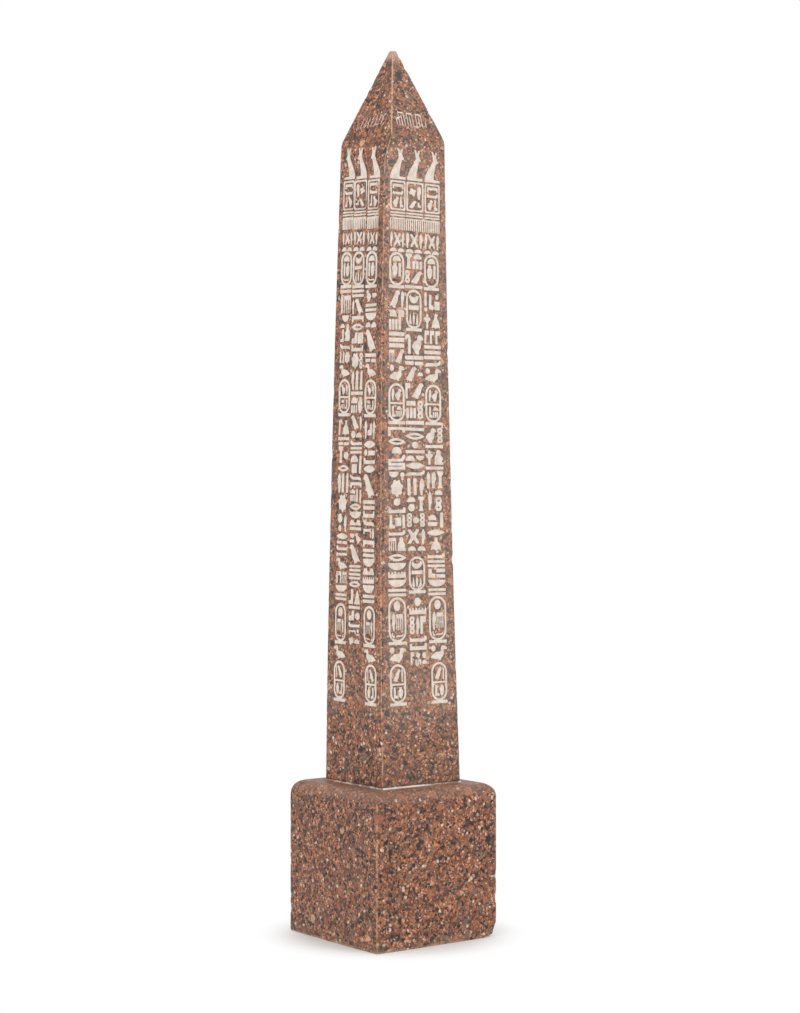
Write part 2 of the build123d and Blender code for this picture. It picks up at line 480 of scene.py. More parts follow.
def dried_adhesive():
    """A dirty white, whitest along the left half of the front and back, where the white is partly a painted
    highlight.
    """
    finish = Finish("adhesive", Specular_IOR_Level=0.5)
    place, (x, y, z) = millimetre_place(finish)
    # The whiter stretch along the left half of the front and back is clean adhesive with a painted
    # highlight
    clean_and_highlit = abs(y).over(abs(x) + 0.3) * (1 - x.ramp(-6, 9))
    cloud = finish.noise(place, 0.35, 4.0)
    bare = cloud.ramp(0.4, 0.56) * (1 - clean_and_highlit * 0.75) + (1 - clean_and_highlit) * 0.42
    finish.set(Base_Color=finish.mix(bare, DRIED, DIRTY), Roughness=0.3 + cloud * 0.3)
    return finish.material


paint_finish = cream_paint()
adhesive_finish = dried_adhesive()

# %% [markdown]
# ## The block
#
# The block is cast in a mould with a soft upper edge, and its other edges were dressed by hand. A
# cube is a good start. The top gets a wide bevel first, while its corners are still sharp. Then the
# corners get a small bevel from the foot over the rounded top, and the foot a narrow one. A mesh
# this plain looks too perfect, so it is cut finely and the arrises are chipped.

# %% Helpers for stone
WHOLE_STONE = 0.22


def add_box(side, low, high):
    """A square box from one height to another, with its size and place in its mesh."""
    bpy.ops.object.select_all(action="DESELECT")
    middle, size = (0, 0, (low + high) / 2), (side, side, high - low)
    bpy.ops.mesh.primitive_cube_add(size=1, location=middle, scale=size)
    bpy.ops.object.transform_apply(location=True, scale=True)
    return bpy.context.object


def at_corner(first, second):
    """Whether an edge of a square block runs along one of its four corners."""
    diagonal = all(abs(abs(end.x) - abs(end.y)) < 0.01 for end in (first, second))
    return diagonal and first.x * second.x > 0 and first.y * second.y > 0


def between(low, high):
    """A test for edges that lie wholly between two heights."""
    return lambda *ends: all(low <= end.z <= high for end in ends)


def edit_edges(piece, test):
    """Opens a piece in edit mode with the edges selected whose two ends pass a test."""
    places = piece.data.vertices
    edit(piece, "EDGE", lambda edge: test(*(places[i].co for i in edge.vertices)))


def bevel(piece, test, width, segments):
    edit_edges(piece, test)
    bpy.ops.mesh.bevel(offset=width, segments=segments, affect="EDGES", profile=0.5)
    leave()


def cut_finely(piece, length, cuts):
    """Cuts the edges that are longer than a length."""
    edit_edges(piece, lambda first, second: (first - second).length > length)
    bpy.ops.mesh.subdivide(number_cuts=cuts)
    leave()


def pits(place, size, seed):
    """How deep stone is chipped at a point, from 0 to 1. Most of the stone is not chipped."""
    value = noise.noise(place / size + Vector((seed, seed * 2.7, 0)))
    return max(0.0, value - WHOLE_STONE) / 0.5


def chip(piece, arris, reach, depth, size, seed):
    """Pushes vertices that lie close to an arris inwards, in uneven chips."""
    for vertex in piece.data.vertices:
        gap = arris(*vertex.co)
        if gap < reach:
            inward = (Vector((0, 0, vertex.co.z)) - vertex.co).normalized()
            amount = pits(vertex.co, size, seed) + 0.5 * pits(vertex.co, size * 0.4, seed + 9)
            vertex.co += inward * depth * amount * (1 - gap / reach)


# %% Cut and chip the block
BLOCK_TOP_ROUND, BLOCK_CORNER_ROUND, BLOCK_FOOT_BEVEL = 4.6, 1.1, 0.6
BLOCK_STEP, LARGE_FACE, BORDER = 1.0, 500, 1.0
HOLLOW = 0.05
# One corner of the foot is worn away further
WORN_CORNER, WORN_REACH, WORN_DEPTH = Vector((BLOCK_SIDE / 2, -BLOCK_SIDE / 2, 0)), 5.5, 1.5

block = add_box(BLOCK_SIDE, 0, BLOCK_HEIGHT)
bevel(block, between(BLOCK_HEIGHT - 0.01, BLOCK_HEIGHT), BLOCK_TOP_ROUND, segments=7)
bevel(block, at_corner, BLOCK_CORNER_ROUND, segments=3)
bevel(block, between(0, 0.01), BLOCK_FOOT_BEVEL, segments=2)

# A narrow border round each flat side keeps the soft shading of the edges out of it
edit(block, "FACE", lambda polygon: polygon.area > LARGE_FACE)
bpy.ops.mesh.inset(thickness=BORDER, use_individual=True)
leave()
cut_finely(block, length=20, cuts=round(BLOCK_SIDE / BLOCK_STEP) - 1)
chip(block, block_arris, reach=2.0, depth=0.4, size=3.2, seed=1.0)
for vertex in block.data.vertices:
    sideways = Vector((vertex.co.x, vertex.co.y, 0)).normalized()
    if vertex.co.z > BLOCK_FOOT_BEVEL + 0.1:
        vertex.co -= sideways * HOLLOW * abs(noise.noise(vertex.co / 7))
    nearness = max(0.0, 1 - (vertex.co - WORN_CORNER).length / WORN_REACH)
    vertex.co += (Vector((0, 0, 0.5)) - sideways) * WORN_DEPTH * nearness
pick(block)
bpy.ops.object.shade_smooth_by_angle(angle=math.radians(40))
finish_piece(block, "granite_block", block_granite, "block_granite", "base_block")

# %% [markdown]
# ## The adhesive
#
# A thin bed of adhesive holds the shaft, and a little of it shows as an uneven bead. It starts as a
# low slab. Its sides are cut finely and moved in and out, so that some stretches are bare and others
# are squeezed out, and its upper edge is drawn in.

# %% Squeeze out the adhesive
BEAD_SIDE = FOOT_SIDE + 0.9
BEAD_CORNER, BEAD_STEP = 0.9, 0.7
BEAD_WANDER, BEAD_SLANT = 0.32, 0.25

bead = add_box(BEAD_SIDE, bed_low.z, bed_high.z)
bevel(bead, at_corner, BEAD_CORNER, segments=3)
cut_finely(bead, length=10, cuts=round(BEAD_SIDE / BEAD_STEP))
for vertex in bead.data.vertices:
    sideways = Vector((vertex.co.x, vertex.co.y, 0))
    if max(abs(sideways.x), abs(sideways.y)) > BEAD_SIDE / 2 - BEAD_CORNER:
        wander = noise.noise(vertex.co / 4) + 0.6 * noise.noise(vertex.co / 1.3)
        top = vertex.co.z > bed_low.z + 0.1
        vertex.co += sideways.normalized() * (wander * BEAD_WANDER - (BEAD_SLANT if top else 0))
finish_piece(bead, "adhesive_bead", adhesive_finish, "adhesive", "adhesive_bed")

# %% [markdown]
# ## The signs, one of each
#
# The carving is made of small pictures in the old manner: birds, reeds, bowls, discs. They are in an
# order of our own, so they say nothing. Each sign is drawn once as a flat curve and made a mesh. A
# curve that is flat fills itself and leaves the loops inside it open.

# %% Shapes with a formula


def flipped(outline):
    return [(x, -y) for x, y in reversed(outline)]


def box_outline(width, height, x=0.0, y=0.0):
    left, right, low, high = x - width / 2, x + width / 2, y - height / 2, y + height / 2
    return [(left, low), (right, low), (right, high), (left, high)]


def arc(radius_x, radius_y, start, end, steps, x=0.0, y=0.0):
    """Points on part of an ellipse, with the angles in degrees."""
    angles = [math.radians(start + (end - start) * i / steps) for i in range(steps + 1)]
    return [(x + radius_x * math.cos(a), y + radius_y * math.sin(a)) for a in angles]


def disc(width, x=0.0, y=0.0):
    return arc(width / 2, width / 2, 0, 360 - 360 / 14, 13, x, y)


def dome(width, height):
    return arc(width / 2, height, 0, 180, 8, y=-height / 2)


def lens(width, height):
    """Two shallow arcs that meet in points."""
    steps = [i / 7 * 2 - 1 for i in range(8)]
    upper = [(step, 1 - step**2) for step in steps]
    lower = [(-x, -y) for x, y in upper[1:-1]]
    return [(x * width / 2, y * height / 2) for x, y in upper + lower]


def teeth(width, height, count, spine, gap):
    """A comb: a spine along the top, with teeth that hang from it."""
    pitch = (width + gap) / count
    points = [(width / 2, height / 2), (-width / 2, height / 2)]
    for i in range(count):
        left = -width / 2 + i * pitch
        right = left + pitch - gap
        points += [(left, -height / 2), (right, -height / 2)]
        if i < count - 1:
            points += [(right, height / 2 - spine), (left + pitch, height / 2 - spine)]
    return points


def ripple(width, height, waves):
    """A zigzag band, as for water."""
    step, rise = width / waves / 2, height * 0.45
    crests = [(i * step - width / 2, (i % 2) * rise) for i in range(2 * waves + 1)]
    upper = [(x, y + height / 2 - rise) for x, y in reversed(crests)]
    return [(x, y - height / 2) for x, y in crests] + upper


def lobed(width, height, lobes, depth):
    """A round body with short limbs all round, as for a beetle or a rosette."""
    points = []
    for i in range(lobes * 4):
        angle = math.tau * (i + 0.5) / (lobes * 4)
        reach = 1 - depth * (i % 4 in (2, 3))
        points.append((width / 2 * reach * math.cos(angle), height / 2 * reach * math.sin(angle)))
    return points


def twist(width, height, turns):
    """Both sides of a rope whose turns bulge."""
    steps, right = turns * 4, []
    for i in range(steps + 1):
        bulge = 0.62 + 0.38 * abs(math.sin(math.pi * i * turns / steps))
        right.append((width / 2 * bulge, height * (i / steps - 0.5)))
    return right + [(-x, y) for x, y in reversed(right)]


# %% Shapes given corner by corner

# The corners of each outline as x,y in tenths of a millimetre
OUTLINES = """
bar: -36,-5.5 -26,-5 27,-5 36,-6 35.5,6.5 26,5 -27,5 -36,6
falcon: -28,-24 -13,-21 -9,-29 4,-29 4,-22 13,-11 18,6 21,15 29,19 24,28 16,30 8,25 -7,4
duck: -37,-13 -24,-16 -10,-19 0,-18 3,-23 10,-23 9,-17 19,-11 23,-3 21,7 25,13 37,11 37,18 26,23 15,23 11,14
    12,5 2,4 -14,3 -29,-6
fan: -20,-22 -9,-18 0,-23 10,-18 20,-22 14,-2 5,9 5,22 -5,22 -5,9 -14,-2
coil: -35,12 20,14 26,26 35,29 34,17 26,4 -26,3.5 -26,-2 34,-2 35,-26 -35,-26 -35,-16 24,-16 24,-11.5
    -35,-11.5
chick: -20,-6 -12,-15 -7,-24 6,-24 3,-17 11,-9 13,4 12,10 21,13 17,20 9,24 1,20 0,10 -12,6
reed: -3,-30 3,-30 4,-11 9,3 8,20 2,30 -6,20 -7,-6
knife: -4,-28 3,-28 4,-12 8,-8 7,16 1,28 -5,14 -3,-10
flag: -11,-27 -2,-27 -2,10 11,9 11,26 -11,27
crook: 1,-29 9,-29 9,19 5,27 -3,29 -10,24 -11,15 -5,13 -3,20 1,17
jar: -7,24 7,24 5,17 12,7 9,-13 4,-24 -4,-24 -9,-13 -12,7 -5,17
mallet: -11,26 11,26 11,19 4.5,12 5,-17 9,-25 -9,-25 -5,-17 -4.5,12 -11,19
viper: -35,-10 -10,-7 18,-7 31,-2 36,8 30,11 23,4 12,2 -14,3 -28,1
arm: -35,-8 26,-9 36,-2 35,8 27,9 24,1 -27,1 -35,7
leg: -8,24 2,24 2,-12 14,-15 14,-24 -9,-24
sprout: -4,-28 4,-28 4,-5 15,7 12,14 5,10 5,22 0,28 -5,22 -5,10 -12,14 -15,7 -4,-5
sitter: -15,-27 20,-27 20,-19 13,-17 19,-3 13,3 8,12 10,20 5,27 -4,27 -8,20 -6,12 -13,4 -15,-10
tray: -36,-10 36,-10 36,10 27,10 27,1 -27,1 -27,10 -36,10
court: -35,-16 -26,-16 -26,8 25,8 25,-2 35,-2 35,17 -35,17
hills: -34,-9 34,-9 26,9 12,10 5,-1 -5,-1 -12,10 -26,9
chair: -12,-15 14,-15 14,-2 0,-1 -1,16 -12,16
crossed: -21,-20 -12,-22 0,-8 12,-22 21,-20 8,0 21,20 12,22 0,8 -12,22 -21,20 -8,0
tent: -14,-23 14,-23 5,10 0,23 -5,10
perched: -35.5,0 35.5,0 35.5,9.5 7.5,11 8,26 12,44 16,60 18.5,70 29.5,75 23,85 19,95 23.5,113 17.5,115
    10.5,101 4.5,115 -4,115 1,100 4.5,83 -6,63 -21,42 -32,22 -35.5,9.5
bracket: -17,-26 -12.5,-26 -11,20 11,20 12.5,-26 17,-26 16,26 -16,26
"""
drawn = {}
for word in OUTLINES.split():
    if word.endswith(":"):
        corners = drawn[word[:-1]] = []
    else:
        corners.append(tuple(float(part) / 10 for part in word.split(",")))
print(len(drawn), "outlines drawn by hand")

# %% [markdown]
# A carver's tool leaves no sharp corner in a stroke under a millimetre wide, so every corner of an
# outline is rounded a little as the sign is drawn.

# %% Draw the signs
CORNER_RADIUS, BOLDNESS = 0.3, 0.13
LEAST_TURN, MOST_MITRE = math.radians(24), 1.4


def turns_of(outline):
    """Each corner of a loop, between the one before it and the one after it."""
    points = [Vector(point) for point in outline]
    return list(zip(points[-1:] + points[:-1], points, points[1:] + points[:1]))


def clockwise(outline):
    return sum(corner.x * after.y - after.x * corner.y for _, corner, after in turns_of(outline)) < 0


def holds(outline, x, y):
    """Whether a point lies inside a loop: an odd number of the loop's sides are to its right."""
    sides = [(a, b) for _, a, b in turns_of(outline) if (a.y > y) != (b.y > y)]
    return sum(x < a.x + (y - a.y) * (b.x - a.x) / (b.y - a.y) for a, b in sides) % 2 == 1


def spread(outline, amount):
    """Moves a loop sideways by an amount, to the right of the way it runs."""
    moved = []
    for before, corner, after in turns_of(outline):
        way = (corner - before).normalized() + (after - corner).normalized()
        # A corner where the loop turns back on itself keeps its place
        if way.length >= 0.4:
            aside = Vector((way.y, -way.x)).normalized()
            corner = corner + aside * amount * min(2 / way.length, MOST_MITRE)
        moved.append(corner)
    return moved


def rounded(outline, radius):
    """Replaces each corner by three points on a curve, cut back by the radius or less."""
    points = []
    for before, corner, after in turns_of(outline):
        back, on = before - corner, after - corner
        cut = min(radius, back.length * 0.4, on.length * 0.4)
        start, end = corner + back.normalized() * cut, corner + on.normalized() * cut
        turns = (-back).angle(on, 0) >= LEAST_TURN
        points += [start, (start + end) / 4 + corner / 2, end] if turns else [corner]
    return points


def draw_sign(name, *outlines, radius=CORNER_RADIUS, bold=0.0):
    """Draws a sign as a flat curve and makes it a mesh. It is a pattern, and isn't shown."""
    curve = bpy.data.curves.new(name, "CURVE")
    curve.dimensions = "2D"
    curve.fill_mode = "BOTH"
    for outline in outlines:
        hole = any(holds(other, *outline[0]) for other in outlines if other is not outline)
        if clockwise(outline) != hole:
            outline = outline[::-1]
        points = rounded(spread(outline, bold), radius)
        spline = curve.splines.new("POLY")
        spline.points.add(len(points) - 1)
        for point, place in zip(spline.points, points):
            point.co = (place.x, place.y, 0, 1)
        spline.use_cyclic_u = True
    pick(add_object(name, curve))
    bpy.ops.object.convert(target="MESH")
    sign = bpy.context.object
    if sign.data.polygons[0].normal.z < 0:
        sign.data.flip_normals()
    return sign


LONG = 7.2
perched, bracket = drawn.pop("perched"), drawn.pop("bracket")
SIGNS = {name: [outline] for name, outline in drawn.items()} | {
    "plank": [box_outline(LONG, 1.05)],
    "halfbar": [box_outline(3.25, 1.0)],
    "disc": [disc(2.3)],
    "dot": [disc(1.5)],
    "dome": [dome(2.9, 1.5)],
    "mound": [dome(3.6, 2.0)],
    "bowl": [flipped(dome(LONG, 2.4))],
    "cup": [flipped(dome(3.4, 1.7))],
    "lens": [lens(LONG, 2.4), lens(4.4, 0.95)],
    "seed": [lens(LONG, 2.2)],
    "ripple": [ripple(LONG, 1.5, 6)],
    "board": [flipped(teeth(LONG, 2.0, 6, 1.15, 0.7))],
    "comb": [teeth(3.2, 4.2, 4, 0.9, 0.6)],
    "strokes": [box_outline(0.8, 2.4, x) for x in (-1.3, 0, 1.3)],
    "posts": [box_outline(1.0, 5.0, x) for x in (-1.1, 1.1)],
    "post": [box_outline(1.0, 5.2)],
    "slats": [box_outline(LONG, 0.85, 0, y) for y in (-0.82, 0.82)],
    "slab": [box_outline(2.5, 2.7)],
    "kite": [lobed(3.0, 3.0, 4, 0.35)],
    "beetle": [lobed(4.4, 5.6, 7, 0.2)],
    "rope": [twist(1.9, 5.2, 3), disc(0.8, 0, -1.7), disc(0.8, 0, 0), disc(0.8, 0, 1.7)],
    "knot": [twist(2.3, 4.8, 2), disc(1.15, 0, 1.2), disc(0.9, 0, -1.2)],
    "spotduck": [drawn["duck"], disc(1.9, -2.3, 1.7)],
    "gate": [flipped(drawn["tray"])],
    "crescent": [arc(2.4, 1.5, 180, 360, 8, y=0.7) + arc(1.7, 0.6, 0, -180, 6, y=0.7)],
}
patterns = {name: draw_sign(name, *outlines, bold=BOLDNESS) for name, outlines in SIGNS.items()}
patterns["perched"] = draw_sign("perched", perched, radius=0.2, bold=0.02)
print(len(patterns), "signs drawn, with", sum(triangles(sign) for sign in patterns.values()), "triangles")

# %% [markdown]
# ## Rings, panels and fringe
#
# Some signs depend on the size of their place. A ring is a long loop on a foot bar, and some rings
# have a bar across. A panel is an upright frame. The fringe is a comb of thin stripes. They are the
# largest motifs, so they stand for the inlays of the CAD model.

# %% The framing motifs
RING_STROKE, RING_FOOT_HEIGHT, RING_OVERHANG, RING_SUNK = 0.92, 1.2, 0.2, 0.3
CROSSBAR, CROSSBAR_RAISE = 0.75, 0.2
PANEL_WIDTH, PANEL_HEIGHT, PANEL_STROKE = 6.8, 10.6, 0.68
FRINGE_WIDTH, FRINGE_HEIGHT = 7.0, 4.4


def ring(width, height):
    """A long loop on a foot bar, with its opening. The foot of the bar is at zero."""
    radius, inner, foot = width / 2, width / 2 - RING_STROKE, (width + RING_OVERHANG) / 2
    low, high = RING_FOOT_HEIGHT - RING_SUNK + radius, height - radius
    start = math.degrees(math.asin((RING_FOOT_HEIGHT - low) / radius))
    side = arc(radius, radius, start, 0, 5, y=low) + arc(radius, radius, 0, 90, 7, y=high)
    other = [(-x, y) for x, y in reversed(side[:-1])]
    opening = arc(inner, inner, 0, 180, 12, y=high) + arc(inner, inner, 180, 360, 12, y=low)
    bar = [(-foot, 0), (foot, 0), (foot, RING_FOOT_HEIGHT)]
    return [bar + side + other + [(-foot, RING_FOOT_HEIGHT)], opening]


def crossed_ring(width, height):
    """A ring with a bar across its middle, so that it has two openings."""
    outer, opening = ring(width, height)
    middle, side = height / 2 + CROSSBAR_RAISE, width / 2 - RING_STROKE
    low, high = middle - CROSSBAR / 2, middle + CROSSBAR / 2
    upper = [point for point in opening if point[1] > middle]
    lower = [point for point in opening if point[1] < middle]
    return [outer, [(side, high), *upper, (-side, high)], [(-side, low), *lower, (side, low)]]


FRAMES = {
    "panel": (0.6, box_outline(PANEL_WIDTH, PANEL_HEIGHT),
              box_outline(PANEL_WIDTH - 2 * PANEL_STROKE, PANEL_HEIGHT - 2 * PANEL_STROKE)),
    "fringe": (0.08, teeth(FRINGE_WIDTH, FRINGE_HEIGHT, 9, 0.5, 0.24)),
    "close_fringe": (0.04, teeth(FRINGE_WIDTH, FRINGE_HEIGHT, 7, 0.9, 0.12)),
    "sill": (0.15, box_outline(FRINGE_WIDTH, 0.66)),
    "slit": (0.15, box_outline(0.5, 4.6)),
    "bracket": (0.15, bracket),
}
for name, (radius, *outlines) in FRAMES.items():
    patterns[name] = draw_sign(name, *outlines, radius=radius)

# %% [markdown]
# ## Rows and columns
#
# The carver worked in three columns a face, from the top down. We do the same: each column is a
# list of rows, and a row is a few signs side by side, some of them one over another. A row fills the
# width of its column, and the rows of a stretch share its height.

# %% Places on a face
FACES = {"front": -90, "left": 180, "back": 90, "right": 0}
# The back is carved as the front is, and the right face as the left
LAYOUT = {"front": "front", "left": "left", "back": "front", "right": "left"}
# The middles of the three columns at some levels above the shaft's foot, and how wide the columns are
COLUMNS = {
    "front": [
        (36, (-9.5, -0.1, 8.9)), (110, (-8.55, -0.4, 8.15)), (183, (-8.15, -0.65, 7.3)),
        (208, (-7.7, -0.1, 7.65)),
    ],
    "left": [
        (36, (-9.0, -0.1, 10.4)), (69, (-8.2, 0.2, 8.7)), (110, (-7.8, 0.2, 8.4)),
        (145, (-7.9, -0.1, 8.3)), (183, (-8.1, -0.6, 7.4)), (208, (-7.75, -0.5, 7.45)),
    ],
}
WIDTHS = {
    "front": [
        (36, (7.4, 7.4, 7.4)), (69, (7.9, 8.0, 7.9)), (110, (7.5, 8.6, 8.1)), (165, (6.8, 8.0, 7.4)),
        (208, (6.8, 7.8, 6.9)),
    ],
    "left": [
        (36, (7.4, 7.2, 7.4)), (69, (7.2, 7.1, 6.9)), (110, (7.0, 7.1, 7.0)), (165, (6.6, 7.3, 6.6)),
        (208, (6.5, 7.4, 6.7)),
    ],
}
LEFT_ROW_FALL, ROW_FALL_LEVEL = 0.085, 216
UNSTEADY_TURN, UNSTEADY_X, UNSTEADY_LEVEL = 1.3, 0.07, 0.06
CARVING_SEED = 11

turn_of_chance = random.Random(CARVING_SEED)
placed = []


def at_level(table, face, column, level):
    """A table's value for one column at a level, on the straight line between two of its rows."""
    table = table[LAYOUT[face]]
    for (low, first), (high, second) in zip(table, table[1:]):
        if level < high or high == table[-1][0]:
            share = min(1, max(0, (level - low) / (high - low)))
            return first[column] + (second[column] - first[column]) * share


def plane_matrix(turn, lean, zero):
    """Turns a flat drawing into its place: x to the right, y up the face, z outwards."""
    outwards, rightwards = outwards_of(turn, lean), Vector((-math.sin(turn), math.cos(turn), 0))
    matrix = Matrix((rightwards, outwards.cross(rightwards), outwards)).transposed().to_4x4()
    matrix.translation = zero
    return matrix


def face_matrix(face):
    turn = math.radians(FACES[face])
    foot = outwards_of(turn, 0) * FOOT_SIDE / 2 + Vector((0, 0, BED_TOP))
    return plane_matrix(turn, math.atan(TAPER), foot)


def slope_matrix(face):
    """The same for a slope of the pyramidion, with its zero at the sharp tip."""
    turn, lean = math.radians(FACES[face]), math.atan(SLOPE)
    if face == "left":
        turn, lean = turn + LEFT_OUT_OF_SQUARE, LEFT_SLOPE
    return plane_matrix(turn, lean, (0, 0, SHARP_TIP))


def unsteady(most):
    return turn_of_chance.uniform(-most, most)


def place_sign(face, name, x, level, width=1.0, height=1.0, steady=False, matrix=None, lean=0.0):
    """Adds one copy of a sign. Its width and height are factors of the drawn size."""
    copy = add_object("sign", patterns[name].data.copy())
    placed.append(copy)
    fall = 0.0
    if LAYOUT[face] == "left":
        # The left face is a mirror image, and its rows fall to the right, more so near the top
        fall = -LEFT_ROW_FALL * level / ROW_FALL_LEVEL
        width = -width
        copy.data.flip_normals()
    slant = Matrix.Identity(4)
    slant[1][0] = fall
    if not steady:
        lean += unsteady(UNSTEADY_TURN)
        x, level = x + unsteady(UNSTEADY_X), level + unsteady(UNSTEADY_LEVEL)
    turn = Matrix.Rotation(math.radians(lean), 4, "Z")
    place = Matrix.Translation((x, level + fall * x, 0))
    size = Matrix.Diagonal((width, height, 1, 1))
    copy.matrix_world = (matrix or face_matrix(face)) @ place @ slant @ turn @ size


# %% Rows of signs
SIGN_GAP, MOST_GROWTH = 0.55, 1.2
TALL_SIGN, MOST_CELL_GROWTH = 2.6, 1.18


def cell_size(cell):
    """The drawn width and height of a cell: one sign, or signs over one another."""
    sizes = [patterns[name].dimensions for name in cell]
    return max(size.x for size in sizes), sum(size.y for size in sizes) + SIGN_GAP * (len(sizes) - 1)


def plan_row(row, width):
    """The cells of a row, their drawn sizes and their scale, and the row's height."""
    cells = [cell.split("/") for cell in row.split()]
    sizes = [cell_size(cell) for cell in cells]
    scale = (width - SIGN_GAP * (len(cells) - 1)) / sum(size[0] for size in sizes)
    scale = min(scale, MOST_GROWTH)
    return cells, sizes, scale, scale * max(size[1] for size in sizes)


def fill_column(face, column, low, high, rows, width=None, middle=None):
    """Fills a stretch of a column with rows, from the top down."""
    if width is None:
        width = at_level(WIDTHS, face, column, (low + high) / 2)
    plans = [plan_row(row, width) for row in rows.split(",")]
    stretch = (high - low - SIGN_GAP * (len(plans) - 1)) / sum(plan[3] for plan in plans)
    top = high
    for cells, sizes, scale, height in plans:
        level = top - height * stretch / 2
        centre = at_level(COLUMNS, face, column, level) if middle is None else middle
        gap = (width - scale * sum(size[0] for size in sizes)) / len(cells)
        x = -width / 2 + gap / 2
        for cell, (cell_width, cell_height) in zip(cells, sizes):
            grow = min(height / (cell_height * scale), MOST_CELL_GROWTH)
            if len(cell) == 1 and cell_height <= TALL_SIGN:
                grow = 1.0
            side = x + cell_width * scale / 2
            if LAYOUT[face] == "left":
                side = -side
            rise = scale * stretch * grow
            y = level + cell_height * rise / 2
            for name in cell:
                tall = patterns[name].dimensions.y * rise
                place_sign(face, name, centre + side, y - tall / 2, scale, rise)
                y -= tall + SIGN_GAP * rise
            x += cell_width * scale + gap
        top -= height * stretch + SIGN_GAP
    return stretch


# %% [markdown]
# The order of the signs is ours. What follows the real one is how dense they are, where the bars
# and bowls fall, and where the rings are.

# %% The text of each face

# Each stretch of text: its columns, foot, head and rows. Signs with a slash are one over another.
TEXT = {
    "front": [
        ((0, 1, 2), 191.3, 196.8, "reed crossed reed"),
        ((0, 1, 2), 189.6, 191.0, "dome dome"),
        ((1,), 176.8, 189.4, "mallet dome/strokes, knot falcon, bar"),
        ((0,), 143.4, 175.9, "falcon reed, dome/strokes flag, plank, plank, plank, comb falcon, spotduck"),
        ((2,), 143.4, 175.9, "post/dot leg dot/slab, sprout fan, flag flag flag, plank, plank, plank, "
         "viper, spotduck"),
        ((1,), 128.2, 160.6, "crook chick, plank, halfbar halfbar, falcon dome, flag falcon, "
         "halfbar/strokes rope, bar"),
        ((0,), 83.2, 127.3, "court, lens, mound, coil, cup dot, beetle, disc, tray, leg slab post, arm, "
         "comb sitter"),
        ((1,), 83.2, 127.3, "bar, lens, disc, bar, mound cup, seed, viper, posts reed, dome/disc mallet, "
         "rope disc rope, crossed knife, dome dome"),
        ((2,), 83.2, 127.3, "chick rope, bar, sprout sitter, plank, knife reed mallet, knife dome/knot, "
         "dome/halfbar post, seed, fan"),
        ((0,), 67.2, 82.3, "lens, bowl, board, bowl, slats"),
        ((2,), 67.2, 82.3, "arm, slats, chair halfbar/halfbar, bowl, slats"),
        ((1,), 42.6, 66.6, "disc, board, rope knife flag, arm, tray, flag kite/strokes disc/dome"),
        ((0, 2), 43.6, 49.2, "spotduck"),
    ],
    "left": [
        ((0,), 192.9, 197.7, "reed crossed reed"),
        ((1,), 192.9, 198.0, "reed crossed reed"),
        ((2,), 192.9, 197.7, "reed crossed reed"),
        ((0, 1, 2), 190.7, 192.3, "dome dome"),
        ((0,), 145.4, 176.9, "bar, comb post, cup, sitter dome/leg, viper, beetle posts, duck"),
        ((1,), 132.6, 176.9, "slats, falcon knife, gate, lens, slab chair, tray, rope beetle, "
         "posts knife, bar, jar mound/strokes"),
        ((2,), 145.4, 176.9, "cup chick, slats, bowl, dome dome, falcon, bar, halfbar halfbar, duck"),
        ((0,), 65.0, 130.2, "fan crook, bar, halfbar halfbar, disc mallet, lens, posts reed, beetle, "
         "knife disc/dot, seed, halfbar halfbar, arm, ripple, duck, comb flag post, bowl, slats"),
        ((1,), 90.4, 131.8, "knife falcon, dome disc, arm, slats, post mound/slab, viper, gate, "
         "posts dome/strokes, lens, bowl, hills, bar"),
        ((2,), 65.0, 130.2, "knife chair reed, seed, halfbar dot, arm, seed, falcon, bar, plank, tray, "
         "viper, jar court, gate, slats, bowl, hills, board, bowl, slats"),
        ((1,), 49.4, 89.6, "chick cup/halfbar, falcon, slats, slats, lens, tent leg, bar, disc chair, "
         "arm, disc/halfbar gate, dome kite"),
        ((0, 2), 43.8, 48.6, "duck"),
    ],
}
# What the rings hold, from the top down. A ring with two texts has a bar between them.
FIRST, SECOND = "dome, jar post, viper", "crescent, bar, tent jar tent"
THIRD, FOURTH = "disc, reed comb, chair viper", ("reed chick", "leg dome/strokes")
FIFTH = ("falcon post", "leg jar")
# Each ring: its group, foot, height, width and columns, and what it holds
RINGS = {
    "front": [
        ("upper", 176.6, 13.0, 6.7, (0, 2), [FIRST]),
        ("upper", 161.6, 15.0, 7.0, (1,), [SECOND]),
        ("middle", 128.2, 14.7, 7.2, (0, 2), FOURTH),
        ("middle", 68.0, 13.3, 7.4, (1,), [SECOND]),
        ("lower", 50.0, 17.0, 7.9, (0, 2), [THIRD]),
        ("lower", 28.4, 14.9, 7.2, (0, 2), FIFTH),
    ],
    "left": [
        ("upper", 177.4, 13.2, 6.5, (0, 2), [FIRST]),
        ("upper", 177.4, 13.2, 6.9, (1,), [SECOND]),
        ("middle", 131.2, 13.5, 6.9, (0, 2), FOURTH),
        ("lower", 49.2, 14.8, 6.8, (0, 2), [THIRD]),
        ("lower", 28.5, 14.8, 6.9, (0, 2), FIFTH),
    ],
}

# %% Lay out the rings and the text
RING_MARGIN, FOOT_CLEAR, HEAD_CLEAR = 0.6, 1.2, 0.55
BAR_CLEAR, CROSSED_MARGIN = 0.9, 0.3


